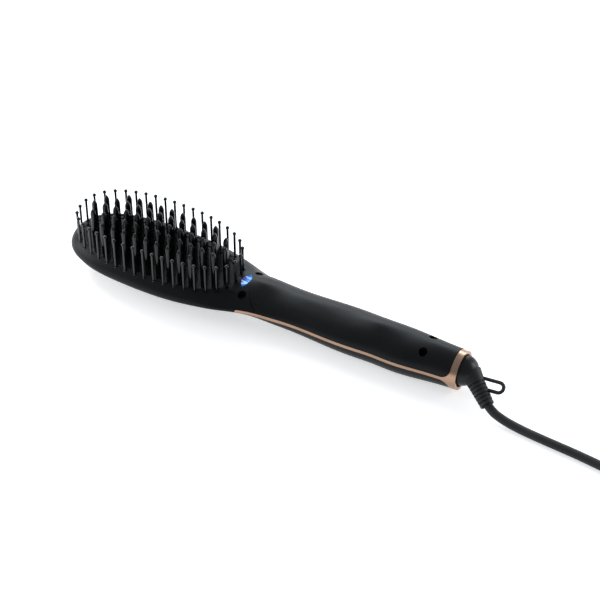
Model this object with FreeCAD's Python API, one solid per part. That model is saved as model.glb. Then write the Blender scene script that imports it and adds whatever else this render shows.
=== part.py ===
# Heated styling brush, lying on its back with the bristles up.
# Millimetres. +X runs from the nose of the head to the tail, +Z is up, and the
# origin is on the ground under the middle of the casing and its cord guard.
import FreeCAD, Part
import math
import os
from FreeCAD import Vector

# Casing: outer form
casing_length = 271.6
head_length = 124.0
head_width = 58.6
head_depth = 15.0
rim_rise = 7.5
head_crown = 13.6
handle_width = 31.0
handle_rise = 12.5
handle_depth = 15.0
parting_height = 14.5
wall = 2.2
head_roundness = 2.5
rim_land_depth = 0.1

# Sections of the casing: place, half width, rise above and depth below the parting plane,
# then the exponents of the upper and the lower curve.
# Nose half of the head: places are shares of half the head's length; the width follows
# the oval of the plan.
nose_shares = (
    (0.006, 0.21, 0.14, 2.0, 1.9),
    (0.035, 0.385, 0.32, 2.0, 1.7),
    (0.12, 0.62, 0.55, 2.0, 1.65),
    (0.32, 0.887, 0.78, 2.0, 1.6),
    (0.60, 0.997, 0.93, 2.0, 1.6),
    (1.0, 1.0, 1.0, 2.0, 1.6),
)
# Rear half of the head, with its width as a share of the head's.
head_rear_shares = (
    (1.40, 0.972, 0.904, 0.88, 2.0, 1.57),
    (1.73, 0.86, 0.715, 0.70, 1.9, 1.5),
    (1.93, 0.74, 0.69, 0.62, 1.6, 1.5),
)
# Neck and handle, from the head's end to the tail, with shares of the handle's own sizes.
handle_shares = (
    (0.041, 1.18, 0.90, 0.62, 1.5, 1.6),
    (0.122, 1.04, 0.84, 0.70, 1.75, 1.8),
    (0.224, 0.95, 0.80, 0.79, 1.95, 2.0),
    (0.359, 0.945, 0.855, 0.88, 2.05, 2.1),
    (0.528, 0.965, 0.925, 0.965, 2.1, 2.1),
    (0.698, 0.935, 0.965, 1.0, 2.1, 2.1),
    (0.833, 0.85, 0.985, 0.95, 2.1, 2.05),
    (0.935, 0.775, 1.0, 0.86, 2.0, 2.0),
    (1.0, 0.755, 1.02, 0.80, 2.0, 2.0),
)
section_points = 9

# Fits
seam_gap = 0.25
slide_gap = 0.3
running_gap = 0.05
cut_overrun = 5.0

# Rose-gold frame: strips on the parting plane and a ring at the tail
strip_height = 2.2
strip_start = 127.5
trim_depth = 1.6
trim_proud = 0.2
tail_ring_width = 4.2
flare_radius = 6.0
cover_proud = 0.5

# Seam between the head's front shell and the handle cover
tongue_tip = 129.0
tongue_length = 22.0

# Bristle field
field_centre = 62.0
pin_oval_length = 112.8
pin_oval_width = 50.2
pin_oval_taper_share = 0.03
pin_count = 40
pin_height = 21.2
pin_end_drop = 3.2
pin_diameter = 1.5
pin_ball_diameter = 2.4
frame_inset = 3.0
frame_width = 2.2
frame_height = 2.0
frame_sunk = 0.5
finger_width = 2.2
finger_height = 1.3
notch_gap = 0.2
oval_points = 36
oval_steps = 2000
plate_gap = 0.4
plate_sunk = 1.0
plate_thickness = 2.6
plate_flange_reach = 2.0
plate_flange_height = 1.2
tooth_diameter = 3.6
tooth_lead = 1.6
tooth_dome = 2.2
tooth_tip_diameter = 1.3
tooth_tip_angle = 35
tooth_row_spacing = 7.8
tooth_pitch = 7.9
teeth_in_rows = (9, 12, 13, 12, 9)

# Heater stack under the plate
heater_length = 72.0
heater_width = 12.0
heater_height = 2.8
clamp_length = 92.0
clamp_width = 16.0
clamp_thickness = 1.0
clamp_screw_inset = 5.0
clamp_screw_diameter = 2.5
clamp_screw_head_diameter = 4.6
clamp_screw_head_height = 1.6
clamp_screw_bite = 2.0
clamp_boss_diameter = 6.0
fuse_diameter = 3.6
fuse_length = 10.0
plate_post_diameter = 5.0
plate_post_spread = 84.0
plate_post_pair = 26.0

# Case screws
screw_hole_diameter = 5.2
screw_boss_wall = 1.2
screw_seat_height = 1.8
screw_shank_diameter = 2.6
screw_head_diameter = 4.6
screw_head_height = 2.0
screw_length = 6.5
screw_drive_diameter = 1.8
screw_drive_depth = 1.0
neck_screw_place = 127.0
neck_screw_spread = 22.0
tail_screw_place = 248.0
tail_screw_spread = 14.0

# Ion outlet
window_place = 124.2
window_length = 5.6
window_width = 12.0
window_skirt = 1.0
led_diameter = 3.0
led_clear = 1.5
generator_length = 24.0
generator_width = 13.0
generator_height = 6.5
generator_place = 152.0

# Control board, display and buttons
board_start = 137.0
board_length = 66.0
board_width = 19.0
board_thickness = 1.6
board_underside = 12.0
board_tongue_width = 8.0
board_tongue_length = 18.0
board_post_diameter = 3.2
board_post_inset = 2.0
button_places = (145.0, 157.0, 168.0)
button_diameters = (9.0, 7.0, 7.0)
button_proud = 0.7
button_crown = 0.4
button_flange_reach = 1.2
button_flange_height = 1.0
button_stem_diameter = 3.0
button_travel = 0.7
boss_wall = 1.6
switch_width = 6.0
switch_height = 2.4
switch_plunger_diameter = 3.4
switch_plunger_height = 0.6
display_place = 187.0
display_length = 24.0
display_width = 11.0
display_window_thickness = 1.2
display_clear = 0.3
display_ledge = 1.2

# Swivel and cord guard
tail_axis_rise = 1.0
swivel_ball_radius = 9.6
swivel_ball_inset = 0.2
swivel_cut_back = 4.9
swivel_shaft_diameter = 12.0
swivel_bore_diameter = 6.4
swivel_clip_diameter = 16.4
swivel_clip_width = 2.0
bush_wall = 1.4
bush_flange_reach = 1.3
bush_flange_width = 1.0
bulkhead_width = 3.0
bulkhead_from_tail = 10.5
boot_turn_degrees = 36.3
boot_droop_degrees = 21.7
boot_axis_forward = 5.0
boot_length = 22.5
boot_base_diameter = 13.0
boot_waist_diameter = 10.6
boot_waist_share = 0.36
boot_end_diameter = 8.6
boot_mouth_diameter = 6.8
boot_mouth_depth = 6.0
boot_rib_count = 6
boot_rib_depth = 0.7
boot_rib_share = 0.55
loop_wire_diameter = 2.2
loop_length = 17.7
loop_width = 8.4
loop_place = 6.0
loop_lean_degrees = 46.0

# Cord: its route is a list of chosen places, after the mouth of the cord guard
cord_diameter = 5.4
cord_bend_share = 0.45
cord_route = (
    (304.5, -16.0, 3.9),
    (316.0, -17.2, 2.75),
    (332.0, -18.6, 2.7),
    (354.0, -20.0, 2.7),
    (374.0, -22.4, 2.7),
    (392.0, -23.9, 2.7),
)
cord_parting_run = 3
cord_parting_share = 0.45
cord_joint_gap = 0.2
coil_outer_radius = 45.0
coil_inner_radius = 24.0
coil_pitch = 6.0
coil_layer_height = 6.0
coil_tail_radius = 22.0

# Plug: plain two-pin plug with round pins, lying beside the coil
plug_length = 34.0
plug_width = 27.0
plug_clear = 1.0
plug_neck_diameter = 9.0
plug_neck_length = 13.0
plug_corner_radius = 4.0
plug_pin_diameter = 4.0
plug_pin_length = 19.0
plug_pin_spacing = 18.6

# Places worked out from the sizes above
head_half = head_length / 2
handle_length = casing_length - head_length
rim_height = parting_height + rim_rise
tail_axis_height = parting_height + tail_axis_rise
ball_centre_x = casing_length - swivel_ball_inset
pin_reach = pin_oval_length / 2
pin_half_width = pin_oval_width / 2
plate_top = rim_height - plate_sunk
plate_bottom = plate_top - plate_thickness
frame_top = rim_height - frame_sunk
frame_bottom = frame_top - frame_height
plug_height = cord_diameter + 2 * coil_layer_height
along = Vector(1, 0, 0)
upward = Vector(0, 0, 1)
sideways = Vector(0, 1, 0)


# Small helpers
def cylinder(diameter, height, base, axis=upward):
    return Part.makeCylinder(diameter / 2, height, base, axis)


def block(length, width, height, low_centre):
    """Box whose underside is centred on the place."""
    corner = low_centre - Vector(length / 2, width / 2, 0)
    return Part.makeBox(length, width, height, corner)


def join(shapes):
    shapes = list(shapes)
    return shapes[0].multiFuse(shapes[1:]).removeSplitter()


def solids_of(shape):
    return Part.Compound(shape.Solids)


def turned(profile_points, base, axis):
    """Solid of revolution from (along, radius) points, straight from point to point."""
    wire = Part.makePolygon([Vector(r, 0, a) for a, r in profile_points + profile_points[:1]])
    body = Part.Face(wire).revolve(Vector(), upward, 360)
    return set_on(body, base, axis)


def set_on(shape, base, axis):
    """Stand a shape made along +Z on a base, along an axis."""
    shape = shape.copy()
    shape.Placement = FreeCAD.Placement(base, FreeCAD.Rotation(upward, axis)).multiply(shape.Placement)
    return shape


# Casing: one lofted form, which the shells, the frame and the hollow all follow
def bent(value, exponent):
    return math.copysign(abs(value) ** (2 / exponent), value)


def section_curve(place, half_width, height, exponent):
    """Half of a section's outline, from one side of the parting plane over to the other."""
    points = []
    for step in range(section_points):
        angle = math.pi * step / (section_points - 1)
        y = half_width * bent(math.cos(angle), exponent)
        z = parting_height + height * bent(math.sin(angle), exponent)
        points.append(Vector(place, y, z))
    tangent = Vector(0, 0, math.copysign(1, height))
    curve = Part.BSplineCurve()
    curve.interpolate(Points=points, InitialTangent=tangent, FinalTangent=tangent * -1, Scale=False)
    return curve.toShape()


def sections(grow):
    """Place, half width, rise, depth and exponents of each section, grown all round."""
    half_width = head_width / 2
    rows = []
    for place, rise, depth, upper, lower in nose_shares:
        x = head_half - (head_half + grow) * (1 - place)
        width = (1 - (1 - place) ** head_roundness) ** (1 / head_roundness)
        rows.append((x, (half_width + grow) * width, (head_crown + grow) * rise, (head_depth + grow) * depth,
                     upper, lower))
    for place, width, rise, depth, upper, lower in head_rear_shares:
        rows.append((head_half * place, half_width * width + grow, head_crown * rise + grow,
                     head_depth * depth + grow, upper, lower))
    for place, width, rise, depth, upper, lower in handle_shares:
        rows.append((head_length + handle_length * place, handle_width / 2 * width + grow,
                     handle_rise * rise + grow, handle_depth * depth + grow, upper, lower))
    return rows


def casing(grow):
    """The whole casing's form, grown or shrunk all round by an amount."""
    wires = []
    for place, half_width, rise, depth, upper, lower in sections(grow):
        over = section_curve(place, half_width, rise, upper)
        under = section_curve(place, half_width, -depth, lower)
        wires.append(Part.Wire([over, under]))
    return Part.makeLoft(wires, True, False)


def casing_half(grow, over, skirt):
    """The form's half over or under the parting plane, with a skirt past that plane."""
    wires = []
    for place, half_width, rise, depth, upper, lower in sections(grow):
        height = rise if over else -depth
        past = parting_height - math.copysign(skirt, height)
        curve = section_curve(place, half_width, height, upper if over else lower)
        corners = [Vector(place, -half_width, parting_height), Vector(place, -half_width, past),
                   Vector(place, half_width, past), Vector(place, half_width, parting_height)]
        if skirt == 0:
            corners = corners[::3]
        wires.append(Part.Wire([curve] + Part.makePolygon(corners).Edges))
    return Part.makeLoft(wires, True, False)


space = 2 * casing_length
front_form = casing_half(0, True, 0)
front_hollow = casing_half(-wall, True, cut_overrun)
back_form = casing_half(0, False, 0)
back_hollow = casing_half(-wall, False, cut_overrun)
cover_form = casing_half(cover_proud, True, 0)


def surface_height(form, x, y, top):
    """Height of a form's upper or lower surface at a place."""
    line = Part.makeLine(Vector(x, y, -space), Vector(x, y, space))
    box = line.common(form).BoundBox
    return box.ZMax if top else box.ZMin


def tongue(grow):
    """Plan of the handle cover's tongue, as a tall prism that runs on past the tail."""
    half = handle_width / 2 + wall + grow
    middle = tongue_tip + tongue_length
    nose = Part.Arc(Vector(middle, -half, 0), Vector(tongue_tip - grow, 0, 0), Vector(middle, half, 0))
    chord = Part.makeLine(Vector(middle, half, 0), Vector(middle, -half, 0))
    prism = Part.Face(Part.Wire([nose.toShape(), chord])).extrude(upward * space)
    rest = Part.makeBox(space, 2 * head_width, space, Vector(middle, -head_width, 0))
    return prism.fuse(rest)


def frame_profile(grow):
    """Side view of the rose-gold frame, as a prism across the casing."""
    half = strip_height / 2 + grow
    ring_start = casing_length - tail_ring_width - grow
    radius = flare_radius - grow
    bend = ring_start - radius
    low = parting_height - half
    high = parting_height + half
    tail = casing_length + cut_overrun
    edges = []

    def line(x1, z1, x2, z2):
        edges.append(Part.makeLine(Vector(x1, -space, z1), Vector(x2, -space, z2)))

    def arc(start, middle, end):
        edges.append(Part.Arc(*[Vector(x, -space, z) for x, z in (start, middle, end)]).toShape())

    turn = radius * (1 - math.sqrt(0.5))
    arc((strip_start, high), (strip_start - half, parting_height), (strip_start, low))
    line(strip_start, low, bend, low)
    arc((bend, low), (ring_start - turn, low - turn), (ring_start, low - radius))
    line(ring_start, low - radius, ring_start, -space)
    line(ring_start, -space, tail, -space)
    line(tail, -space, tail, space)
    line(tail, space, ring_start, space)
    line(ring_start, space, ring_start, high + radius)
    arc((ring_start, high + radius), (ring_start - turn, high + turn), (bend, high))
    line(bend, high, strip_start, high)
    return Part.Face(Part.Wire(Part.__sortEdges__(edges))).extrude(sideways * 2 * space)


trim_frame = casing(trim_proud).cut(casing(-trim_depth)).common(frame_profile(0))
frame_rebate = frame_profile(seam_gap).cut(casing(-trim_depth - seam_gap))
tail_cut = Part.makeBox(space, space, space, Vector(casing_length - tail_ring_width - seam_gap,
                                                    -casing_length, -casing_length))


# Plan ovals of the bristle field
def oval_point(grow, angle, z):
    x = (pin_reach + grow) * bent(math.cos(angle), head_roundness)
    narrow = 1 - pin_oval_taper_share * x / pin_reach
    y = (pin_half_width + grow) * bent(math.sin(angle), head_roundness) * narrow
    return Vector(field_centre + x, y, z)


def oval_prism(grow, low, high):
    """Prism of an oval that stands off the line of pins by an amount."""
    points = [oval_point(grow, 2 * math.pi * (i + 0.5) / oval_points, low) for i in range(oval_points)]
    curve = Part.BSplineCurve()
    curve.interpolate(Points=points, PeriodicFlag=True)
    return Part.Face(Part.Wire(curve.toShape())).extrude(upward * (high - low))


def pin_places():
    """Evenly spaced places on the oval, each with its outward direction."""
    ring = [oval_point(0, 2 * math.pi * i / oval_steps, 0) for i in range(oval_steps + 1)]
    run = [0.0]
    for a, b in zip(ring, ring[1:]):
        run.append(run[-1] + a.distanceToPoint(b))
    places = []
    index = 0
    for pin in range(pin_count):
        want = run[-1] * (pin + 0.5) / pin_count
        while run[index] < want:
            index += 1
        tangent = ring[index] - ring[index - 1]
        places.append((ring[index], Vector(tangent.y, -tangent.x, 0).normalize()))
    return places


def pin_drop(place):
    return pin_end_drop * ((place.x - field_centre) / pin_reach) ** 2


pins_at = pin_places()


def finger(place, outward, side_gap, low, high):
    """Radial bar from the frame's band out to a pin, with a round end under the pin."""
    width = finger_width + 2 * side_gap
    bar = Part.makeBox(frame_inset, width, high - low, Vector(-frame_inset, -width / 2, low))
    bar.Placement = FreeCAD.Placement(place, FreeCAD.Rotation(along, outward))
    return bar.fuse(cylinder(width, high - low, place + upward * low))


# Screw bosses: a counterbored boss in the front shell over a pilot boss in the back shell
neck_screws = [Vector(neck_screw_place, s * neck_screw_spread / 2, parting_height) for s in (-1, 1)]
tail_screws = [Vector(tail_screw_place, s * tail_screw_spread / 2, parting_height) for s in (-1, 1)]
screws_at = neck_screws + tail_screws
boss_diameter = screw_hole_diameter + 2 * screw_boss_wall


def front_bosses(places, form):
    tubes = [cylinder(boss_diameter, space, place) for place in places]
    return Part.Compound(tubes).common(form)


def front_boss_holes(places):
    cuts = []
    for place in places:
        seat = place + upward * screw_seat_height
        cuts.append(cylinder(screw_hole_diameter, space, seat))
        cuts.append(cylinder(screw_shank_diameter + 2 * running_gap, space, place))
    return cuts


def case_screw(place):
    seat = place + upward * screw_seat_height
    head = cylinder(screw_head_diameter, screw_head_height, seat)
    shank = cylinder(screw_shank_diameter, screw_length, seat - upward * screw_length)
    socket_base = seat + upward * (screw_head_height - screw_drive_depth)
    return head.fuse(shank).cut(cylinder(screw_drive_diameter, screw_drive_depth, socket_base))


# Head's front shell, with a flat rim round the oval opening and a notch for each finger
def make_head_front():
    rim = Part.makeBox(field_centre + pin_reach, space, space,
                       Vector(0, -casing_length, rim_height - rim_land_depth))
    shell = front_form.cut(front_hollow).cut([tongue(seam_gap), rim])
    shell = shell.fuse(front_bosses(neck_screws, front_form))
    high = rim_height + cut_overrun
    opening = frame_width / 2 - frame_inset + notch_gap
    shell = shell.cut(oval_prism(opening, parting_height - cut_overrun, high))
    low = rim_height - finger_height
    notches = [finger(place, outward, notch_gap, low, high) for place, outward in pins_at]
    cuts = [frame_rebate, window_prism(seam_gap)] + front_boss_holes(neck_screws)
    return shell.cut(notches).cut(cuts)


# Ion outlet: leaf-shaped window in the slope in front of the tongue
def window_prism(grow):
    half_length = window_length / 2 + grow
    half_width = window_width / 2 + grow
    centre = Vector(window_place, 0, 0)
    left = centre - sideways * half_width
    right = centre + sideways * half_width
    front = Part.Arc(left, centre - along * half_length, right)
    back = Part.Arc(right, centre + along * half_length, left)
    leaf = Part.Face(Part.Wire([front.toShape(), back.toShape()]))
    return leaf.extrude(upward * space)


def make_ion_window():
    return front_form.common(window_prism(0)).cut(casing_half(-wall - window_skirt, True, cut_overrun))


# Handle cover, with its screw bosses and the upper half of the bulkhead
bulkhead_x = casing_length - bulkhead_from_tail
bush_diameter = swivel_shaft_diameter + 2 * running_gap + 2 * bush_wall
tail_axis = Vector(0, 0, tail_axis_height)


def bulkhead(form):
    slab = Part.makeBox(bulkhead_width, space, space, Vector(bulkhead_x, -casing_length, -casing_length))
    hole = cylinder(bush_diameter + 2 * running_gap, space, tail_axis, along)
    return slab.common(form).cut(hole)


def make_handle_cover():
    shell = cover_form.cut(front_hollow)
    shell = shell.fuse([front_bosses(tail_screws, cover_form), bulkhead(front_form)])
    return shell.common(tongue(0)).cut([frame_rebate, tail_cut] + front_boss_holes(tail_screws))


# Back shell: pilot bosses, posts, button bosses, display opening
button_holes = list(zip(button_places, button_diameters))


def button_levels(x):
    """Height of the outer skin under a button and of the boss that its flange lies on."""
    skin = surface_height(back_form, x, 0, False)
    return skin, skin + wall + button_flange_height


def make_back_shell():
    shell = back_form.cut(back_hollow)
    posts = []
    for place in screws_at:
        posts.append(cylinder(boss_diameter, parting_height, Vector(place.x, place.y, 0)))
    for x, y in board_posts():
        posts.append(cylinder(board_post_diameter, board_underside, Vector(x, y, 0)))
    for x, diameter in button_holes:
        skin, boss_top = button_levels(x)
        posts.append(cylinder(diameter + 2 * slide_gap + 2 * boss_wall, boss_top, Vector(x, 0, 0)))
    inner_posts = Part.Compound(posts).common(back_form)
    tall_posts = [plate_post(x, y) for x, y in plate_posts()]
    shell = shell.fuse([inner_posts, bulkhead(back_form)] + tall_posts)
    cuts = [frame_rebate, tail_cut]
    for place in screws_at:
        depth = screw_length - screw_seat_height
        cuts.append(cylinder(screw_shank_diameter + 2 * running_gap, depth, place - upward * depth))
    for x, diameter in button_holes:
        cuts.append(cylinder(diameter + 2 * slide_gap, parting_height, Vector(x, 0, 0)))
    cuts.append(display_prism(seam_gap).cut(window_floor))
    cuts.append(display_prism(-display_ledge))
    ground = Part.makeBox(space, space, space, Vector(-cut_overrun, -casing_length, -space))
    return shell.cut(cuts + [ground])


def plate_post(x, y):
    """Post from the back shell's wall up to the heater plate."""
    foot = surface_height(back_form, x, y, False) + wall / 2
    return cylinder(plate_post_diameter, plate_bottom - foot, Vector(x, y, foot))


def display_prism(grow):
    low = Vector(display_place, 0, 0)
    return block(display_length + 2 * grow, display_width + 2 * grow, parting_height, low)


window_floor = casing_half(-display_window_thickness, False, cut_overrun)


def make_display_window():
    """Window as curved as the skin, on a ledge in its opening."""
    return back_form.common(display_prism(0)).cut(window_floor)


def make_display_module():
    length = display_length - 2 * (display_ledge + seam_gap)
    width = display_width - 2 * (display_ledge + seam_gap)
    ends = (display_place - length / 2, display_place + length / 2)
    low = max(surface_height(window_floor, x, width / 2, False) for x in ends) + display_clear
    return block(length, width, board_underside - low, Vector(display_place, 0, low))


# Heater plate and what stands on it
def make_heater_plate():
    inner = -frame_inset - frame_width / 2 - plate_gap
    plate = oval_prism(inner, plate_bottom, plate_top)
    flange_top = min(plate_bottom + plate_flange_height, frame_bottom)
    plate = plate.fuse(oval_prism(inner + plate_flange_reach, plate_bottom, flange_top))
    for x, y in clamp_screw_places():
        boss = cylinder(clamp_boss_diameter, heater_height, Vector(x, y, plate_bottom - heater_height))
        plate = plate.fuse(boss)
    for x, y in clamp_screw_places():
        plate = plate.cut(cylinder(clamp_screw_diameter + 2 * running_gap, heater_height + clamp_screw_bite,
                                   Vector(x, y, plate_bottom - heater_height)))
    return plate


def teeth_places():
    places = []
    middle_row = (len(teeth_in_rows) - 1) / 2
    for row, count in enumerate(teeth_in_rows):
        y = (row - middle_row) * tooth_row_spacing
        for i in range(count):
            places.append(Vector(field_centre + (i - (count - 1) / 2) * tooth_pitch, y, plate_top))
    return places


def heating_tooth(place):
    """Bullet-shaped bristle: a straight foot, an ogive and a small rounded tip."""
    outer_row = tooth_row_spacing * (len(teeth_in_rows) - 1) / 2
    dome = tooth_dome * (1 - (place.y / outer_row) ** 2)
    height = pin_height + plate_sunk + tooth_lead + dome - pin_drop(place)
    radius = tooth_diameter / 2
    tip = tooth_tip_diameter / 2
    lean = math.radians(tooth_tip_angle)
    ogive = (radius - tip * math.cos(lean)) / (1 - math.cos(lean))
    tip_centre = Vector(0, 0, height - tip)
    tip_foot = tip_centre + Vector(math.cos(lean), 0, math.sin(lean)) * tip
    tip_middle = tip_centre + Vector(math.sin(lean / 2), 0, math.cos(lean / 2)) * tip
    shoulder = Vector(radius, 0, tip_foot.z - ogive * math.sin(lean))
    belly = shoulder + Vector(math.cos(lean / 2) - 1, 0, math.sin(lean / 2)) * ogive
    top = Vector(0, 0, height)
    foot = Vector(radius, 0, 0)
    edges = [
        Part.makeLine(Vector(), foot),
        Part.makeLine(foot, shoulder),
        Part.Arc(shoulder, belly, tip_foot).toShape(),
        Part.Arc(tip_foot, tip_middle, top).toShape(),
        Part.makeLine(top, Vector()),
    ]
    tooth = Part.Face(Part.Wire(edges)).revolve(Vector(), upward, 360)
    tooth.translate(place)
    return tooth


def guard_pin(place):
    height = rim_height + pin_height - pin_drop(place) - frame_top
    ball = pin_ball_diameter / 2
    base = place + upward * frame_top
    shaft = cylinder(pin_diameter, height - ball, base)
    return shaft.fuse(Part.makeSphere(ball, base + upward * (height - ball)))


def make_pin_frame():
    half = frame_width / 2
    band = oval_prism(half - frame_inset, frame_bottom, frame_top)
    ring = band.cut(oval_prism(-half - frame_inset, frame_bottom, frame_top))
    low = rim_height - finger_height
    fingers = [finger(place, outward, 0, low, frame_top) for place, outward in pins_at]
    return ring.multiFuse(fingers)


# Heater stack
def clamp_screw_places():
    reach = clamp_length / 2 - clamp_screw_inset
    return [(field_centre - reach, 0), (field_centre + reach, 0)]


def plate_posts():
    reach = plate_post_spread / 2
    half = plate_post_pair / 2
    return [(field_centre + sx * reach, sy * half) for sx in (-1, 1) for sy in (-1, 1)]


def board_posts():
    first = board_start + board_post_inset
    last = board_start + board_length - board_post_inset
    half = board_width / 2 - board_post_inset
    return [(x, sy * half) for x in (first, last) for sy in (-1, 1)]


heater_low = plate_bottom - heater_height
clamp_low = heater_low - clamp_thickness


def make_heater_clamp():
    clamp = block(clamp_length, clamp_width, clamp_thickness, Vector(field_centre, 0, clamp_low))
    holes = [cylinder(clamp_screw_diameter + 2 * slide_gap, clamp_thickness, Vector(x, y, clamp_low))
             for x, y in clamp_screw_places()]
    return clamp.cut(holes)


def clamp_screw(x, y):
    head = cylinder(clamp_screw_head_diameter, clamp_screw_head_height,
                    Vector(x, y, clamp_low - clamp_screw_head_height))
    length = clamp_thickness + heater_height + clamp_screw_bite
    shank = cylinder(clamp_screw_diameter, length, Vector(x, y, clamp_low))
    return head.fuse(shank)


# Control board and what it carries
def make_control_board():
    board = block(board_length, board_width, board_thickness,
                  Vector(board_start + board_length / 2, 0, board_underside))
    nose = block(board_tongue_length, board_tongue_width, board_thickness,
                 Vector(board_start - board_tongue_length / 2, 0, board_underside))
    return board.fuse(nose).removeSplitter()


def make_indicator_led():
    base = Vector(window_place, 0, board_underside + board_thickness)
    ceiling = surface_height(front_hollow, window_place, 0, True)
    height = ceiling - window_skirt - led_clear - base.z
    radius = led_diameter / 2
    return cylinder(led_diameter, height - radius, base).fuse(
        Part.makeSphere(radius, base + upward * (height - radius)))


def switch_level():
    return board_underside - switch_height


def tact_switch(x):
    body = block(switch_width, switch_width, switch_height, Vector(x, 0, switch_level()))
    plunger = cylinder(switch_plunger_diameter, switch_plunger_height,
                       Vector(x, 0, switch_level() - switch_plunger_height))
    return body.fuse(plunger)


def make_button(x, diameter):
    """Cap with a flange that lies on its boss and a stem that stops short of the switch."""
    skin, boss_top = button_levels(x)
    radius = diameter / 2
    low = skin - button_proud
    flange_top = boss_top + running_gap + button_flange_height
    stem_top = switch_level() - switch_plunger_height - button_travel - running_gap
    bow = (radius ** 2 + button_crown ** 2) / (2 * button_crown)
    tilt = math.asin(radius / bow) / 2
    middle = Vector(bow * math.sin(tilt), 0, low + bow * (1 - math.cos(tilt)))
    crown = Part.Arc(Vector(radius, 0, low + button_crown), middle, Vector(0, 0, low)).toShape()
    flange = radius + button_flange_reach
    stem = button_stem_diameter / 2
    seat = boss_top + running_gap
    corners = [(radius, low + button_crown), (radius, seat), (flange, seat), (flange, flange_top),
               (stem, flange_top), (stem, stem_top), (0, stem_top), (0, low)]
    edges = [crown]
    for (r1, z1), (r2, z2) in zip(corners, corners[1:]):
        edges.append(Part.makeLine(Vector(r1, 0, z1), Vector(r2, 0, z2)))
    cap = Part.Face(Part.Wire(Part.__sortEdges__(edges))).revolve(Vector(), upward, 360)
    cap.translate(Vector(x, 0, 0))
    return cap


# Swivel: ball with a shaft that turns in a bush, and the cord guard on it
ball_centre = Vector(ball_centre_x, 0, tail_axis_height)
boot_direction = Vector(
    math.cos(math.radians(boot_droop_degrees)) * math.cos(math.radians(boot_turn_degrees)),
    -math.cos(math.radians(boot_droop_degrees)) * math.sin(math.radians(boot_turn_degrees)),
    -math.sin(math.radians(boot_droop_degrees)))
boot_origin = ball_centre + along * boot_axis_forward
bush_length = bulkhead_width + 2 * running_gap + 2 * bush_flange_width
bush_start = bulkhead_x - running_gap - bush_flange_width


def on_tail_axis(x):
    return Vector(x, 0, tail_axis_height)


def make_swivel_bush():
    bore = swivel_shaft_diameter / 2 + running_gap
    barrel = bush_diameter / 2
    flange = barrel + bush_flange_reach
    width = bush_flange_width
    profile = [(0, bore), (0, flange), (width, flange), (width, barrel), (bush_length - width, barrel),
               (bush_length - width, flange), (bush_length, flange), (bush_length, bore)]
    return turned(profile, on_tail_axis(bush_start), along)


def make_swivel_ball():
    ball = Part.makeSphere(swivel_ball_radius, ball_centre)
    back = ball_centre_x - swivel_cut_back
    ball = ball.common(Part.makeBox(space, space, space, Vector(back, -casing_length, -casing_length)))
    shaft_start = bush_start - running_gap - swivel_clip_width
    shaft_length = back - shaft_start + cut_overrun
    shaft = cylinder(swivel_shaft_diameter, shaft_length, on_tail_axis(shaft_start), along)
    clip = cylinder(swivel_clip_diameter, swivel_clip_width, on_tail_axis(shaft_start), along)
    swivel = join([ball, shaft, clip])
    bore = cylinder(swivel_bore_diameter, ball_centre_x - shaft_start, on_tail_axis(shaft_start), along)
    return swivel.cut([bore, boot_core()])


def boot_core():
    base = boot_base_diameter / 2
    waist = boot_waist_diameter / 2
    end = boot_end_diameter / 2
    waist_place = boot_length * boot_waist_share
    profile = [(0, 0), (0, base), (waist_place, waist), (boot_length, end), (boot_length, 0)]
    return turned(profile, boot_origin, boot_direction)


def boot_radius(place):
    """Radius of the cord guard's outer skin at a place on its axis."""
    waist_place = boot_length * boot_waist_share
    if place < waist_place:
        share = place / waist_place
        return (boot_base_diameter * (1 - share) + boot_waist_diameter * share) / 2
    share = (place - waist_place) / (boot_length - waist_place)
    return (boot_waist_diameter * (1 - share) + boot_end_diameter * share) / 2


def make_cord_boot():
    core = boot_core()
    waist_place = boot_length * boot_waist_share
    pitch = (boot_length - waist_place) / boot_rib_count
    grooves = []
    for rib in range(boot_rib_count):
        start = waist_place + pitch * rib
        stop = start + pitch * (1 - boot_rib_share)
        outer = boot_base_diameter
        profile = [(start, boot_radius(start) - boot_rib_depth), (start, outer), (stop, outer),
                   (stop, boot_radius(stop) - boot_rib_depth)]
        grooves.append(turned(profile, boot_origin, boot_direction))
    mouth = cylinder(boot_mouth_diameter, boot_mouth_depth + cut_overrun,
                     boot_origin + boot_direction * (boot_length - boot_mouth_depth), boot_direction)
    return core.cut(grooves).fuse(hang_loop()).cut(mouth).removeSplitter()


def hang_loop():
    """Hang loop: a wire that leaves the cone, rounds a half circle and comes back to the ribs."""
    across = (along - boot_direction * along.dot(boot_direction)).normalize()
    lean = math.radians(loop_lean_degrees)
    out = boot_direction * math.cos(lean) + across * math.sin(lean)
    side = boot_direction * math.sin(lean) - across * math.cos(lean)
    half = (loop_width - loop_wire_diameter) / 2
    root = boot_origin + boot_direction * loop_place
    straight = loop_length - half
    corner_a = root - side * half
    corner_b = root + side * half
    end_a = corner_a + out * straight
    end_b = corner_b + out * straight
    tip = root + out * loop_length
    path = Part.Wire([Part.makeLine(corner_a, end_a), Part.Arc(end_a, tip, end_b).toShape(),
                      Part.makeLine(end_b, corner_b)])
    ring = Part.Wire(Part.makeCircle(loop_wire_diameter / 2, corner_a, out))
    return path.makePipeShell([ring], True, False)


# Cord: a lead of straight runs and tangent arcs, and a coil of half-turn arcs
def tangent_arc(start, direction, end):
    """Arc from a place, leaving along a direction, to another place."""
    chord = end - start
    unit = direction * (1 / direction.Length)
    bulge = chord - unit * chord.dot(unit)
    normal = bulge * (1 / bulge.Length)
    radius = chord.Length ** 2 / (2 * bulge.Length)
    centre = start + normal * radius
    middle = (start + chord * 0.5) - centre
    middle = centre + middle * (radius / middle.Length)
    if unit.dot(chord) < 0:
        middle = centre * 2 - middle
    return Part.Arc(start, middle, end)


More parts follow.
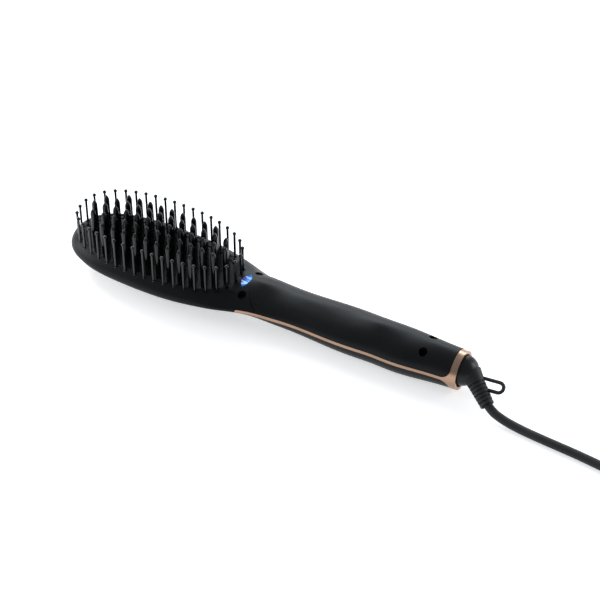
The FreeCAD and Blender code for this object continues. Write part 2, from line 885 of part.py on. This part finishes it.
def smooth_path(points):
    """Wire through a route: straight runs joined by the largest tangent arcs that they allow."""
    edges = []
    radii = []
    here = points[0]
    for before, corner, after in zip(points, points[1:], points[2:]):
        run_in = corner - before
        run_out = after - corner
        half_turn = run_in.getAngle(run_out) / 2
        reach = cord_bend_share * min(run_in.Length, run_out.Length)
        start = corner - run_in * (reach / run_in.Length)
        end = corner + run_out * (reach / run_out.Length)
        edges.append(Part.makeLine(here, start))
        edges.append(tangent_arc(start, run_in, end).toShape())
        radii.append(reach / math.tan(half_turn))
        here = end
    edges.append(Part.makeLine(here, points[-1]))
    return Part.Wire(edges), radii


def tube(path, diameter):
    start = path.OrderedEdges[0]
    direction = start.tangentAt(start.FirstParameter)
    ring = Part.Wire(Part.makeCircle(diameter / 2, start.valueAt(start.FirstParameter), direction))
    return path.makePipeShell([ring], True, False)


def cord_points():
    """Places along the cord's lead, which turns with the swivel, and along the run that lies still."""
    mouth = boot_origin + boot_direction * (boot_length - boot_mouth_depth)
    edge = boot_origin + boot_direction * (boot_length + cord_diameter / 2)
    route = [Vector(*place) for place in cord_route]
    before = route[cord_parting_run - 1]
    run = route[cord_parting_run] - before
    parting = before + run * cord_parting_share
    start = parting + run * (cord_joint_gap / run.Length)
    return [mouth, edge] + route[:cord_parting_run] + [parting], [start] + route[cord_parting_run:]


def coil_edges(start, heading):
    """Half turns that spiral in on the ground, climb a layer and spiral out, then a tail to the plug."""
    heading = heading * (1 / heading.Length)
    turns = int(round((coil_outer_radius - coil_inner_radius) / (coil_pitch / 2))) + 1
    radii = [coil_outer_radius - coil_pitch / 2 * i for i in range(turns)]
    straight = start + heading * cord_diameter
    edges = [Part.makeLine(start, straight)]
    here = straight
    side = upward.cross(heading)
    sign = 1

    def half_turn(radius):
        nonlocal here, sign
        end = here + side * (2 * radius * sign)
        top = here + side * (radius * sign) + heading * (radius * sign)
        edges.append(Part.Arc(here, top, end).toShape())
        here = end
        sign = -sign

    for radius in radii:
        half_turn(radius)
    climb = coil_layer_height
    radius = coil_inner_radius - coil_pitch / 2
    end = here + side * (2 * radius * sign) + upward * climb
    reach = math.sqrt(radius ** 2 + climb ** 2 / 4)
    middle = (here + end) * 0.5 + heading * (reach * sign)
    edges.append(tangent_arc(here, heading * sign, middle).toShape())
    edges.append(tangent_arc(end, heading * sign, middle).toShape())
    here = end
    sign = -sign
    for radius in reversed(radii[1:]):
        half_turn(radius)
    ahead = heading * sign
    leaving = side * sign
    beside = coil_outer_radius + cord_diameter / 2 + plug_clear + plug_width / 2
    corner = here + ahead * (beside - coil_tail_radius)
    end = corner + (ahead + leaving) * coil_tail_radius
    last = end + leaving * cord_diameter
    edges.append(Part.makeLine(here, corner))
    edges.append(tangent_arc(corner, ahead, end).toShape())
    edges.append(Part.makeLine(end, last))
    return edges, last, leaving


def least_self_gap(path, diameter):
    """Least gap between stretches of a tube that are more than a turn's quarter apart."""
    count = int(path.Length / (diameter / 2))
    points = path.discretize(Number=count)
    apart = int(coil_inner_radius / (diameter / 2)) + 1
    least = space
    for i in range(0, count, 2):
        for j in range(i + apart, count):
            least = min(least, points[i].distanceToPoint(points[j]))
    return least - diameter


# Plug at the coil's end
def make_plug(start, heading):
    side = upward.cross(heading)
    body_start = start + heading * plug_neck_length
    frame = FreeCAD.Placement(body_start, FreeCAD.Rotation(along, heading))
    body = Part.makeBox(plug_length, plug_width, plug_height, Vector(0, -plug_width / 2, -plug_height / 2))
    body = body.makeFillet(plug_corner_radius, [e for e in body.Edges if abs(e.tangentAt(0).x) > 0.5])
    body.Placement = frame
    neck = cylinder(plug_neck_diameter, plug_neck_length + cut_overrun, start, heading)
    body = join([body, neck])
    face = body_start + heading * plug_length
    pins = []
    for sign in (-1, 1):
        base = face + side * (sign * plug_pin_spacing / 2)
        pins.append(cylinder(plug_pin_diameter, plug_pin_length, base, heading))
    return body, Part.Compound(pins)


# Build every node
lead_places, run_places = cord_points()
lead_path, lead_radii = smooth_path(lead_places)
run_path, run_radii = smooth_path(run_places)
run_heading = (run_places[-1] - run_places[-2]).normalize()
coil_start = run_places[-1] + run_heading * cord_joint_gap
coil_list, coil_end, plug_heading = coil_edges(coil_start, run_heading)
coil_path = Part.Wire(coil_list)
plug_body, plug_pins = make_plug(coil_end + plug_heading * cord_joint_gap, plug_heading)

nodes = {
    "head_front": make_head_front(),
    "handle_cover": make_handle_cover(),
    "back_shell": make_back_shell(),
    "trim_frame": trim_frame,
    "heater_plate": make_heater_plate(),
    "heating_teeth": Part.Compound([heating_tooth(place) for place in teeth_places()]),
    "pin_frame": make_pin_frame(),
    "guard_pins": Part.Compound([guard_pin(place) for place, outward in pins_at]),
    "ptc_heater": block(heater_length, heater_width, heater_height, Vector(field_centre, 0, heater_low)),
    "heater_clamp": make_heater_clamp(),
    "clamp_screws": Part.Compound([clamp_screw(x, y) for x, y in clamp_screw_places()]),
    "thermal_fuse": cylinder(fuse_diameter, fuse_length,
                             Vector(field_centre - fuse_length / 2, 0, clamp_low - fuse_diameter / 2), along),
    "ion_window": make_ion_window(),
    "indicator_led": make_indicator_led(),
    "ion_generator": block(generator_length, generator_width, generator_height,
                           Vector(generator_place, 0, board_underside + board_thickness)),
    "control_board": make_control_board(),
    "tact_switches": Part.Compound([tact_switch(x) for x in button_places]),
    "display_module": make_display_module(),
    "display_window": make_display_window(),
    "power_button": make_button(*button_holes[0]),
    "warmer_button": make_button(*button_holes[1]),
    "cooler_button": make_button(*button_holes[2]),
    "case_screws": Part.Compound([case_screw(place) for place in screws_at]),
    "swivel_bush": make_swivel_bush(),
    "swivel_ball": make_swivel_ball(),
    "cord_boot": make_cord_boot(),
    "cord_lead": tube(lead_path, cord_diameter),
    "cord_run": tube(run_path, cord_diameter),
    "cord_coil": tube(coil_path, cord_diameter),
    "plug_body": plug_body,
    "plug_pins": plug_pins,
}

nose_x = sections(0)[0][0]
tail_x = nodes["cord_boot"].optimalBoundingBox().XMax
origin_x = (nose_x + tail_x) / 2
os.makedirs("parts", exist_ok=True)
for name, shape in nodes.items():
    shape = shape.copy()
    shape.translate(Vector(-origin_x, 0, 0))
    solids_of(shape).exportStep("parts/" + name + ".step")
    box = shape.BoundBox
    print(name, len(shape.Solids), "valid" if shape.isValid() else "NOT VALID", round(shape.Volume), "mm3",
          [round(v, 2) for v in (box.XMin, box.XMax, box.YMin, box.YMax, box.ZMin, box.ZMax)])

section = math.pi * cord_diameter ** 2 / 4
for name, path in (("cord_lead", lead_path), ("cord_run", run_path), ("cord_coil", coil_path)):
    print(name, round(path.Length, 1), "mm, volume over section times length",
          round(nodes[name].Volume / (section * path.Length), 4))
print("radii of the lead and the run", [round(radius, 1) for radius in lead_radii + run_radii])
print("least gap of the coil to itself", round(least_self_gap(coil_path, cord_diameter), 2))
print("middle of the swivel ball", [round(v, 3) for v in ball_centre - Vector(origin_x, 0, 0)])
print("origin along the casing", round(origin_x, 3))
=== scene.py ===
"""Looks of a heated styling brush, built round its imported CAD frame. Everything is in metres."""
import math

import bpy
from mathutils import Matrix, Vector


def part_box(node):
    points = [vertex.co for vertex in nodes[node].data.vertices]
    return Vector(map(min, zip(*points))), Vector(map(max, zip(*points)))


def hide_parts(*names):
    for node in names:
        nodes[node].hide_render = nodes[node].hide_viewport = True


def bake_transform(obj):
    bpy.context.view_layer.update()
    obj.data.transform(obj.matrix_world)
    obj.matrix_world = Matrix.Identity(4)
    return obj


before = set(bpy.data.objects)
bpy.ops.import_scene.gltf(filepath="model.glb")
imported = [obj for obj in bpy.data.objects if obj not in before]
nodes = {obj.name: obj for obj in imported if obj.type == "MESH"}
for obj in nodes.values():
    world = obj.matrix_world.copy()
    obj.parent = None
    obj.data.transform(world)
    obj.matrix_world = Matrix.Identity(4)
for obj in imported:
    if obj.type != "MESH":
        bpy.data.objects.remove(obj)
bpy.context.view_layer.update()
scene = bpy.context.scene

# Camera, as fitted to the photograph's 600 by 600 frame
camera_azimuth = math.radians(28.493)
camera_elevation = math.radians(42.22)
camera_distance = 1.2195
camera_target = Vector((0.010641, 0.001586, 0.022))
camera_lens_mm = 120
camera_sensor_mm = 36

# Cord: the same places as in the part's source, from the nose of the head along +X
nose_to_origin = 0.150010
cord_diameter = 0.0054
cord_mouth = (0.288755, -0.009076, 0.009399)
cord_edge = (0.295270, -0.013861, 0.006182)
cord_route = (
    (0.3045, -0.0160, 0.0039),
    (0.3160, -0.0172, 0.00275),
    (0.3320, -0.0186, 0.0027),
    (0.3540, -0.0200, 0.0027),
    (0.3740, -0.0224, 0.0027),
    (0.3920, -0.0239, 0.0027),
)
coil_outer_radius = 0.045
coil_inner_radius = 0.024
coil_pitch = 0.006
coil_layer_height = 0.006
coil_points_per_half_turn = 12
coil_to_plug_line = 0.0622
plug_line_to_plug = 0.0274
cord_round_steps = 5
cord_curve_steps = 6

# Surface finish: scale of the slow noise, strength of the grain and spreads of the roughness
slow_scale = 40.0
grain_strength = 0.5
plastic_rough_spread = 0.08
metal_rough_spread = 0.1

# Stage and light
floor_half = 3.0
floor_colour = (0.86, 0.86, 0.86, 1)
floor_glow = 0.55
sky_colour = (0.86, 0.93, 1.0, 1)
sky_strength = 0.4
plain_white = (1, 1, 1)
cool_white = (0.90, 0.95, 1.0)
light_target = (0.0, 0.0, 0.02)
# Name, place, width, height, watts and colour of each softbox
softboxes = (
    ("back_softbox", (-0.42, 1.02, 0.55), 1.2, 0.5, 9.0, cool_white),
    ("left_softbox", (-1.15, -0.35, 0.4), 0.7, 0.7, 8.0, plain_white),
    ("rim_softbox", (-0.85, 0.35, 0.66), 0.5, 0.5, 9.0, cool_white),
    ("right_softbox", (0.95, 0.8, 0.4), 0.6, 0.6, 6.0, plain_white),
)


def add_camera():
    data = bpy.data.cameras.new("photo_camera")
    data.sensor_width = camera_sensor_mm
    data.lens = camera_lens_mm
    camera = bpy.data.objects.new("photo_camera", data)
    flat = math.cos(camera_elevation)
    towards = Vector((math.sin(camera_azimuth) * flat, -math.cos(camera_azimuth) * flat,
                      math.sin(camera_elevation)))
    camera.location = camera_target + towards * camera_distance
    camera.rotation_euler = (-towards).to_track_quat("-Z", "Y").to_euler()
    scene.collection.objects.link(camera)
    scene.camera = camera


# Materials
def new_material(name, **values):
    """Principled material with values set on its own sockets."""
    material = bpy.data.materials.new(name)
    material.use_nodes = True
    shader = material.node_tree.nodes["Principled BSDF"]
    for socket, value in values.items():
        shader.inputs[socket.replace("_", " ")].default_value = value
    return material, material.node_tree, shader


def object_coordinates(tree):
    return tree.nodes.new("ShaderNodeTexCoord").outputs["Object"]


def noise(tree, scale, detail=4.0, roughness=0.55):
    texture = tree.nodes.new("ShaderNodeTexNoise")
    texture.inputs["Scale"].default_value = scale
    texture.inputs["Detail"].default_value = detail
    texture.inputs["Roughness"].default_value = roughness
    tree.links.new(object_coordinates(tree), texture.inputs["Vector"])
    return texture.outputs["Fac"]


def ramp(tree, factor, low, high, start=0.3, end=0.7):
    """Colour ramp from low to high, between two values of the factor."""
    node = tree.nodes.new("ShaderNodeValToRGB")
    node.color_ramp.elements[0].position = start
    node.color_ramp.elements[0].color = low
    node.color_ramp.elements[1].position = end
    node.color_ramp.elements[1].color = high
    tree.links.new(factor, node.inputs["Fac"])
    return node.outputs["Color"]


def span(tree, factor, low, high):
    """The factor's 0 to 1 spread between two values."""
    node = tree.nodes.new("ShaderNodeMapRange")
    node.inputs["To Min"].default_value = low
    node.inputs["To Max"].default_value = high
    tree.links.new(factor, node.inputs["Value"])
    return node.outputs["Result"]


def bump(tree, shader, height, distance, strength=1.0):
    node = tree.nodes.new("ShaderNodeBump")
    node.inputs["Distance"].default_value = distance
    node.inputs["Strength"].default_value = strength
    tree.links.new(height, node.inputs["Height"])
    tree.links.new(node.outputs["Normal"], shader.inputs["Normal"])


def grained(name, low, high, rough_low, rough_high, grain_scale, grain_depth, **values):
    """Moulded surface: slow variation of colour and roughness, with a fine grain in its normal."""
    material, tree, shader = new_material(name, **values)
    slow = noise(tree, slow_scale)
    tree.links.new(ramp(tree, slow, low, high), shader.inputs["Base Color"])
    tree.links.new(span(tree, slow, rough_low, rough_high), shader.inputs["Roughness"])
    bump(tree, shader, noise(tree, grain_scale, detail=2.0), grain_depth, grain_strength)
    return material


def grey(value, tint=0.06):
    """Grey with a slight cool tint."""
    return (value * (1 - tint), value, value * (1 + tint), 1)


def shell_black():
    tint = 0.16
    return grained("shell_black", grey(0.0045, tint), grey(0.0065, tint), rough_low=0.36, rough_high=0.44,
                   grain_scale=2600.0, grain_depth=0.00003, Specular_IOR_Level=0.14)


def bristle_black():
    return grained("bristle_black", grey(0.003), grey(0.005), rough_low=0.08, rough_high=0.14,
                   grain_scale=900.0, grain_depth=0.00002, Specular_IOR_Level=0.5)


def rose_gold():
    material, tree, shader = new_material("rose_gold", Metallic=1.0)
    slow = noise(tree, scale=60.0)
    colour = ramp(tree, slow, low=(0.36, 0.225, 0.155, 1), high=(0.44, 0.285, 0.205, 1))
    tree.links.new(colour, shader.inputs["Base Color"])
    rough = span(tree, noise(tree, scale=350.0), low=0.24, high=0.34)
    tree.links.new(rough, shader.inputs["Roughness"])
    bump(tree, shader, noise(tree, scale=1500.0, detail=2.0), distance=0.00001, strength=0.4)
    return material


def window_glow_painted_highlight():
    material, tree, shader = new_material("window_glow_painted_highlight", Base_Color=(0.0, 0.02, 0.08, 1), Roughness=0.08,
                                          Emission_Strength=0.9)
    place = tree.nodes.new("ShaderNodeSeparateXYZ")
    tree.links.new(object_coordinates(tree), place.inputs["Vector"])
    low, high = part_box("ion_window")
    share = tree.nodes.new("ShaderNodeMapRange")
    share.inputs["From Min"].default_value = low.x
    share.inputs["From Max"].default_value = high.x
    tree.links.new(place.outputs["X"], share.inputs["Value"])
    # The glow is the LED's own light, but its ramp along X paints shade at the window's -X edge and a
    # highlight towards its +X edge.
    glow = ramp(tree, share.outputs["Result"], low=(0.003, 0.045, 0.28, 1), high=(0.02, 0.33, 1.0, 1),
                start=0.2, end=0.95)
    tree.links.new(glow, shader.inputs["Emission Color"])
    return material


def rubber(name, low, high):
    return grained(name, grey(low), grey(high), rough_low=0.46, rough_high=0.56, grain_scale=1800.0,
                   grain_depth=0.00004, Specular_IOR_Level=0.25)


def plain_plastic(name, low, high, rough, **values):
    return grained(name, low, high, rough, rough + plastic_rough_spread, grain_scale=1500.0,
                   grain_depth=0.00002, **values)


def brushed_metal(name, low, high, rough):
    return grained(name, low, high, rough, rough + metal_rough_spread, grain_scale=1200.0,
                   grain_depth=0.00002, Metallic=1.0)


def dress_nodes():
    """Every CAD node but the cord's gets its own finish."""
    shell = shell_black()
    bristle = bristle_black()
    steel = brushed_metal("screw_steel", grey(0.16), grey(0.22), 0.3)
    bare = brushed_metal("bare_aluminium", grey(0.5), grey(0.6), 0.35)
    component = plain_plastic("component_black", grey(0.02), grey(0.03), 0.45)
    button = plain_plastic("button_black", grey(0.02), grey(0.026), 0.3)
    finishes = {
        shell: ("head_front", "handle_cover", "back_shell"),
        rose_gold(): ("trim_frame",),
        bristle: ("heater_plate", "heating_teeth", "pin_frame", "guard_pins"),
        window_glow_painted_highlight(): ("ion_window", "indicator_led"),
        steel: ("case_screws", "clamp_screws"),
        bare: ("ptc_heater", "heater_clamp"),
        component: ("ion_generator", "tact_switches", "display_module"),
        button: ("power_button", "warmer_button", "cooler_button"),
        plain_plastic("fuse_ivory", (0.6, 0.56, 0.45, 1), (0.66, 0.62, 0.5, 1), 0.4): ("thermal_fuse",),
        plain_plastic("board_green", (0.01, 0.09, 0.04, 1), (0.015, 0.12, 0.05, 1), 0.35): ("control_board",),
        plain_plastic("display_glass", grey(0.006), grey(0.008), 0.05): ("display_window",),
        plain_plastic("bush_white", grey(0.65), grey(0.7), 0.4): ("swivel_bush",),
        plain_plastic("ball_black", grey(0.006), grey(0.009), 0.32,
                      Specular_IOR_Level=0.25): ("swivel_ball",),
        rubber("boot_rubber", 0.018, 0.026): ("cord_boot",),
        rubber("plug_rubber", 0.025, 0.032): ("plug_body",),
        brushed_metal("pin_nickel", grey(0.6), grey(0.68), 0.22): ("plug_pins",),
    }
    for material, names in finishes.items():
        for name in names:
            mesh = nodes[name].data
            mesh.materials.clear()
            mesh.materials.append(material)


# Cord
def coil_points(start, heading):
    """Places round the coil: half turns that spiral in, climb a layer and spiral out again."""
    heading = heading.normalized()
    side = Vector((0, 0, 1)).cross(heading)
    turns = int(round((coil_outer_radius - coil_inner_radius) / (coil_pitch / 2))) + 1
    inward = [coil_outer_radius - coil_pitch / 2 * turn for turn in range(turns)]
    climb_radius = coil_inner_radius - coil_pitch / 2
    radii = inward + [climb_radius] + inward[:0:-1]
    points = []
    here = start + heading * cord_diameter
    sign = 1
    step = math.pi / coil_points_per_half_turn
    widen = 1 / math.cos(step / 2)
    for number, radius in enumerate(radii):
        centre = here + side * (radius * sign)
        rise = coil_layer_height if number == turns else 0
        for i in range(coil_points_per_half_turn):
            angle = (i + 0.5) * step
            reach = radius * widen * sign
            lift = Vector((0, 0, rise * (i + 0.5) / coil_points_per_half_turn))
            points.append(centre + (heading * math.sin(angle) - side * math.cos(angle)) * reach + lift)
        here = centre + side * (radius * sign) + Vector((0, 0, rise))
        sign = -sign
    corner = here + heading * (coil_to_plug_line * sign)
    points.append(corner)
    points.append(corner + side * (plug_line_to_plug * sign))
    return points


def curve_object(name, points, bevel):
    data = bpy.data.curves.new(name, "CURVE")
    data.dimensions = "3D"
    data.bevel_depth = bevel
    data.bevel_resolution = cord_round_steps
    data.use_fill_caps = True
    data.resolution_u = cord_curve_steps
    spline = data.splines.new("NURBS")
    spline.points.add(len(points) - 1)
    for target, place in zip(spline.points, points):
        target.co = (*place, 1)
    spline.order_u = 3
    spline.use_endpoint_u = True
    piece = bpy.data.objects.new(name, data)
    scene.collection.objects.link(piece)
    return piece


def mesh_from(piece):
    bpy.context.view_layer.update()
    evaluated = piece.evaluated_get(bpy.context.evaluated_depsgraph_get())
    return bpy.data.meshes.new_from_object(evaluated)


def add_cord():
    """One cord from the guard to the plug."""
    shift = Vector((-nose_to_origin, 0, 0))
    route = [Vector(place) + shift for place in (cord_mouth, cord_edge) + cord_route]
    points = route + coil_points(route[-1], route[-1] - route[-2])
    line = curve_object("cord_line", points, 0)
    path = [vertex.co.copy() for vertex in mesh_from(line).vertices]
    bpy.data.objects.remove(line)
    round_line = curve_object("cord_round", points, cord_diameter / 2)
    cord = bpy.data.objects.new("cord", mesh_from(round_line))
    bpy.data.objects.remove(round_line)
    scene.collection.objects.link(cord)
    for face in cord.data.polygons:
        face.use_smooth = True
    cord.data.materials.clear()
    cord.data.materials.append(rubber("cord_rubber", 0.018, 0.026))
    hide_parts("cord_lead", "cord_run", "cord_coil")
    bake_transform(cord)


# Stage and light
def seen_directly(tree):
    """1 on camera, glossy and transmission rays."""
    rays = tree.nodes.new("ShaderNodeLightPath")
    first = tree.nodes.new("ShaderNodeMath")
    first.operation = "MAXIMUM"
    tree.links.new(rays.outputs["Is Camera Ray"], first.inputs[0])
    tree.links.new(rays.outputs["Is Glossy Ray"], first.inputs[1])
    second = tree.nodes.new("ShaderNodeMath")
    second.operation = "MAXIMUM"
    tree.links.new(first.outputs["Value"], second.inputs[0])
    tree.links.new(rays.outputs["Is Transmission Ray"], second.inputs[1])
    return second.outputs["Value"]


def add_floor():
    mesh = bpy.data.meshes.new("floor")
    corners = [(floor_half * x, floor_half * y, 0) for x, y in ((-1, -1), (1, -1), (1, 1), (-1, 1))]
    mesh.from_pydata(corners, [], [(0, 1, 2, 3)])
    floor = bpy.data.objects.new("floor", mesh)
    scene.collection.objects.link(floor)
    material = bpy.data.materials.new("floor_white")
    material.use_nodes = True
    tree = material.node_tree
    tree.nodes.clear()
    diffuse = tree.nodes.new("ShaderNodeBsdfDiffuse")
    diffuse.inputs["Color"].default_value = floor_colour
    glow = tree.nodes.new("ShaderNodeEmission")
    seen = seen_directly(tree)
    lift = tree.nodes.new("ShaderNodeMath")
    lift.operation = "MULTIPLY"
    lift.inputs[1].default_value = floor_glow
    tree.links.new(seen, lift.inputs[0])
    tree.links.new(lift.outputs["Value"], glow.inputs["Strength"])
    both = tree.nodes.new("ShaderNodeAddShader")
    tree.links.new(diffuse.outputs["BSDF"], both.inputs[0])
    tree.links.new(glow.outputs["Emission"], both.inputs[1])
    output = tree.nodes.new("ShaderNodeOutputMaterial")
    tree.links.new(both.outputs["Shader"], output.inputs["Surface"])
    mesh.materials.append(material)


def add_world():
    world = bpy.data.worlds.new("studio")
    scene.world = world
    world.use_nodes = True
    background = world.node_tree.nodes["Background"]
    background.inputs["Color"].default_value = sky_colour
    background.inputs["Strength"].default_value = sky_strength


def add_softbox(name, place, width, height, watts, colour):
    data = bpy.data.lights.new(name, "AREA")
    data.shape = "RECTANGLE"
    data.size = width
    data.size_y = height
    data.energy = watts
    data.color = colour
    lamp = bpy.data.objects.new(name, data)
    lamp.location = place
    towards = Vector(light_target) - Vector(place)
    lamp.rotation_euler = towards.to_track_quat("-Z", "Y").to_euler()
    scene.collection.objects.link(lamp)


def add_lights():
    for softbox in softboxes:
        add_softbox(*softbox)


add_camera()
dress_nodes()
add_cord()
add_floor()
add_world()
add_lights()
scene.view_settings.view_transform = "Standard"
